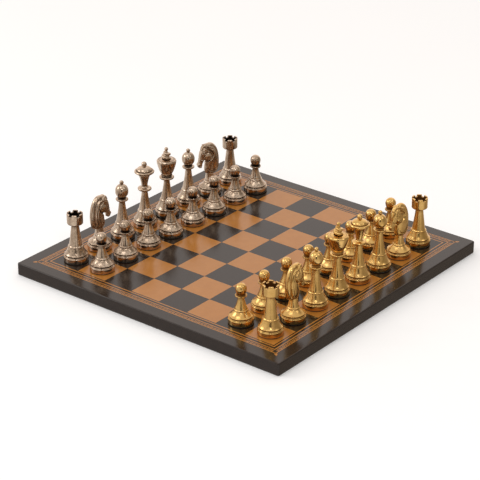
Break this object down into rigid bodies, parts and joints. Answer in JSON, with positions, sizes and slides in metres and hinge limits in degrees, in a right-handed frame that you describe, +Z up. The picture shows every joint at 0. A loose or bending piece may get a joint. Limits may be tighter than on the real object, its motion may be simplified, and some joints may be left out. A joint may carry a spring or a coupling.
{
  "type": "chess set with board",
  "caption": "Chess set of turned and cast metal men in gold and silver, each with a felt foot, on a square leatherette-wrapped board with stamped gold squares and border.",
  "frame": {"origin": "middle of the board's underside", "axes": "+Z up through the board's thickness, +X along the ranks (to the right as the gold player sits), +Y from the gold men to the silver men"},
  "size_m": [0.35, 0.35, 0.0946],
  "materials": {
    "panel": "matt wood-fibre panel",
    "leatherette": "smooth black leatherette with a fine grain, semi-gloss",
    "gold_print": "flat tan-gold stamped print, semi-gloss",
    "lining": "black felt lining",
    "gold_metal": "polished gold finish on cast metal",
    "silver_metal": "polished antique silver finish with dark patina in the grooves",
    "felt": "dark felt"
  },
  "bodies": {
    "board": {"board_core": "panel", "leatherette_cover": "leatherette", "gold_squares": "gold_print", "gold_border": "gold_print", "underside_lining": "lining"},
    "gold_pawn_a": {"gold_pawn_a": "gold_metal"},
    "gold_pawn_b": {"gold_pawn_b": "gold_metal"},
    "gold_pawn_c": {"gold_pawn_c": "gold_metal"},
    "gold_pawn_d": {"gold_pawn_d": "gold_metal"},
    "gold_pawn_e": {"gold_pawn_e": "gold_metal"},
    "gold_pawn_f": {"gold_pawn_f": "gold_metal"},
    "gold_pawn_g": {"gold_pawn_g": "gold_metal"},
    "gold_pawn_h": {"gold_pawn_h": "gold_metal"},
    "gold_rook_a": {"gold_rook_a": "gold_metal", "gold_rook_a_felt": "felt"},
    "gold_knight_b": {"gold_knight_b": "gold_metal", "gold_knight_b_felt": "felt", "gold_knight_b_head": "gold_metal"},
    "gold_bishop_c": {"gold_bishop_c": "gold_metal", "gold_bishop_c_felt": "felt"},
    "gold_king": {"gold_king": "gold_metal", "gold_king_felt": "felt", "gold_king_finial": "gold_metal"},
    "gold_queen": {"gold_queen": "gold_metal", "gold_queen_felt": "felt"},
    "gold_bishop_f": {"gold_bishop_f": "gold_metal", "gold_bishop_f_felt": "felt"},
    "gold_knight_g": {"gold_knight_g": "gold_metal", "gold_knight_g_felt": "felt", "gold_knight_g_head": "gold_metal"},
    "gold_rook_h": {"gold_rook_h": "gold_metal", "gold_rook_h_felt": "felt"},
    "silver_pawn_a": {"silver_pawn_a": "silver_metal"},
    "silver_pawn_b": {"silver_pawn_b": "silver_metal"},
    "silver_pawn_c": {"silver_pawn_c": "silver_metal"},
    "silver_pawn_d": {"silver_pawn_d": "silver_metal"},
    "silver_pawn_e": {"silver_pawn_e": "silver_metal"},
    "silver_pawn_f": {"silver_pawn_f": "silver_metal"},
    "silver_pawn_g": {"silver_pawn_g": "silver_metal"},
    "silver_pawn_h": {"silver_pawn_h": "silver_metal"},
    "silver_rook_a": {"silver_rook_a": "silver_metal", "silver_rook_a_felt": "felt"},
    "silver_knight_b": {"silver_knight_b": "silver_metal", "silver_knight_b_felt": "felt", "silver_knight_b_head": "silver_metal"},
    "silver_bishop_c": {"silver_bishop_c": "silver_metal", "silver_bishop_c_felt": "felt"},
    "silver_queen": {"silver_queen": "silver_metal", "silver_queen_felt": "felt"},
    "silver_king": {"silver_king": "silver_metal", "silver_king_felt": "felt", "silver_king_finial": "silver_metal"},
    "silver_bishop_f": {"silver_bishop_f": "silver_metal", "silver_bishop_f_felt": "felt"},
    "silver_knight_g": {"silver_knight_g": "silver_metal", "silver_knight_g_felt": "felt", "silver_knight_g_head": "silver_metal"},
    "silver_rook_h": {"silver_rook_h": "silver_metal", "silver_rook_h_felt": "felt"}
  },
  "joints": [
    {"name": "gold_pawn_a_lift", "type": "slide", "parent": "board", "child": "gold_pawn_a", "axis": [0, 0, 1], "range_m": [0, 0.09]},
    {"name": "gold_pawn_b_lift", "type": "slide", "parent": "board", "child": "gold_pawn_b", "axis": [0, 0, 1], "range_m": [0, 0.09]},
    {"name": "gold_pawn_c_lift", "type": "slide", "parent": "board", "child": "gold_pawn_c", "axis": [0, 0, 1], "range_m": [0, 0.09]},
    {"name": "gold_pawn_d_lift", "type": "slide", "parent": "board", "child": "gold_pawn_d", "axis": [0, 0, 1], "range_m": [0, 0.09]},
    {"name": "gold_pawn_e_lift", "type": "slide", "parent": "board", "child": "gold_pawn_e", "axis": [0, 0, 1], "range_m": [0, 0.09]},
    {"name": "gold_pawn_f_lift", "type": "slide", "parent": "board", "child": "gold_pawn_f", "axis": [0, 0, 1], "range_m": [0, 0.09]},
    {"name": "gold_pawn_g_lift", "type": "slide", "parent": "board", "child": "gold_pawn_g", "axis": [0, 0, 1], "range_m": [0, 0.09]},
    {"name": "gold_pawn_h_lift", "type": "slide", "parent": "board", "child": "gold_pawn_h", "axis": [0, 0, 1], "range_m": [0, 0.09]},
    {"name": "gold_rook_a_lift", "type": "slide", "parent": "board", "child": "gold_rook_a", "axis": [0, 0, 1], "range_m": [0, 0.09]},
    {"name": "gold_knight_b_lift", "type": "slide", "parent": "board", "child": "gold_knight_b", "axis": [0, 0, 1], "range_m": [0, 0.09]},
    {"name": "gold_bishop_c_lift", "type": "slide", "parent": "board", "child": "gold_bishop_c", "axis": [0, 0, 1], "range_m": [0, 0.09]},
    {"name": "gold_king_lift", "type": "slide", "parent": "board", "child": "gold_king", "axis": [0, 0, 1], "range_m": [0, 0.09]},
    {"name": "gold_queen_lift", "type": "slide", "parent": "board", "child": "gold_queen", "axis": [0, 0, 1], "range_m": [0, 0.09]},
    {"name": "gold_bishop_f_lift", "type": "slide", "parent": "board", "child": "gold_bishop_f", "axis": [0, 0, 1], "range_m": [0, 0.09]},
    {"name": "gold_knight_g_lift", "type": "slide", "parent": "board", "child": "gold_knight_g", "axis": [0, 0, 1], "range_m": [0, 0.09]},
    {"name": "gold_rook_h_lift", "type": "slide", "parent": "board", "child": "gold_rook_h", "axis": [0, 0, 1], "range_m": [0, 0.09]},
    {"name": "silver_pawn_a_lift", "type": "slide", "parent": "board", "child": "silver_pawn_a", "axis": [0, 0, 1], "range_m": [0, 0.09]},
    {"name": "silver_pawn_b_lift", "type": "slide", "parent": "board", "child": "silver_pawn_b", "axis": [0, 0, 1], "range_m": [0, 0.09]},
    {"name": "silver_pawn_c_lift", "type": "slide", "parent": "board", "child": "silver_pawn_c", "axis": [0, 0, 1], "range_m": [0, 0.09]},
    {"name": "silver_pawn_d_lift", "type": "slide", "parent": "board", "child": "silver_pawn_d", "axis": [0, 0, 1], "range_m": [0, 0.09]},
    {"name": "silver_pawn_e_lift", "type": "slide", "parent": "board", "child": "silver_pawn_e", "axis": [0, 0, 1], "range_m": [0, 0.09]},
    {"name": "silver_pawn_f_lift", "type": "slide", "parent": "board", "child": "silver_pawn_f", "axis": [0, 0, 1], "range_m": [0, 0.09]},
    {"name": "silver_pawn_g_lift", "type": "slide", "parent": "board", "child": "silver_pawn_g", "axis": [0, 0, 1], "range_m": [0, 0.09]},
    {"name": "silver_pawn_h_lift", "type": "slide", "parent": "board", "child": "silver_pawn_h", "axis": [0, 0, 1], "range_m": [0, 0.09]},
    {"name": "silver_rook_a_lift", "type": "slide", "parent": "board", "child": "silver_rook_a", "axis": [0, 0, 1], "range_m": [0, 0.09]},
    {"name": "silver_knight_b_lift", "type": "slide", "parent": "board", "child": "silver_knight_b", "axis": [0, 0, 1], "range_m": [0, 0.09]},
    {"name": "silver_bishop_c_lift", "type": "slide", "parent": "board", "child": "silver_bishop_c", "axis": [0, 0, 1], "range_m": [0, 0.09]},
    {"name": "silver_queen_lift", "type": "slide", "parent": "board", "child": "silver_queen", "axis": [0, 0, 1], "range_m": [0, 0.09]},
    {"name": "silver_king_lift", "type": "slide", "parent": "board", "child": "silver_king", "axis": [0, 0, 1], "range_m": [0, 0.09]},
    {"name": "silver_bishop_f_lift", "type": "slide", "parent": "board", "child": "silver_bishop_f", "axis": [0, 0, 1], "range_m": [0, 0.09]},
    {"name": "silver_knight_g_lift", "type": "slide", "parent": "board", "child": "silver_knight_g", "axis": [0, 0, 1], "range_m": [0, 0.09]},
    {"name": "silver_rook_h_lift", "type": "slide", "parent": "board", "child": "silver_rook_h", "axis": [0, 0, 1], "range_m": [0, 0.09]}
  ]
}
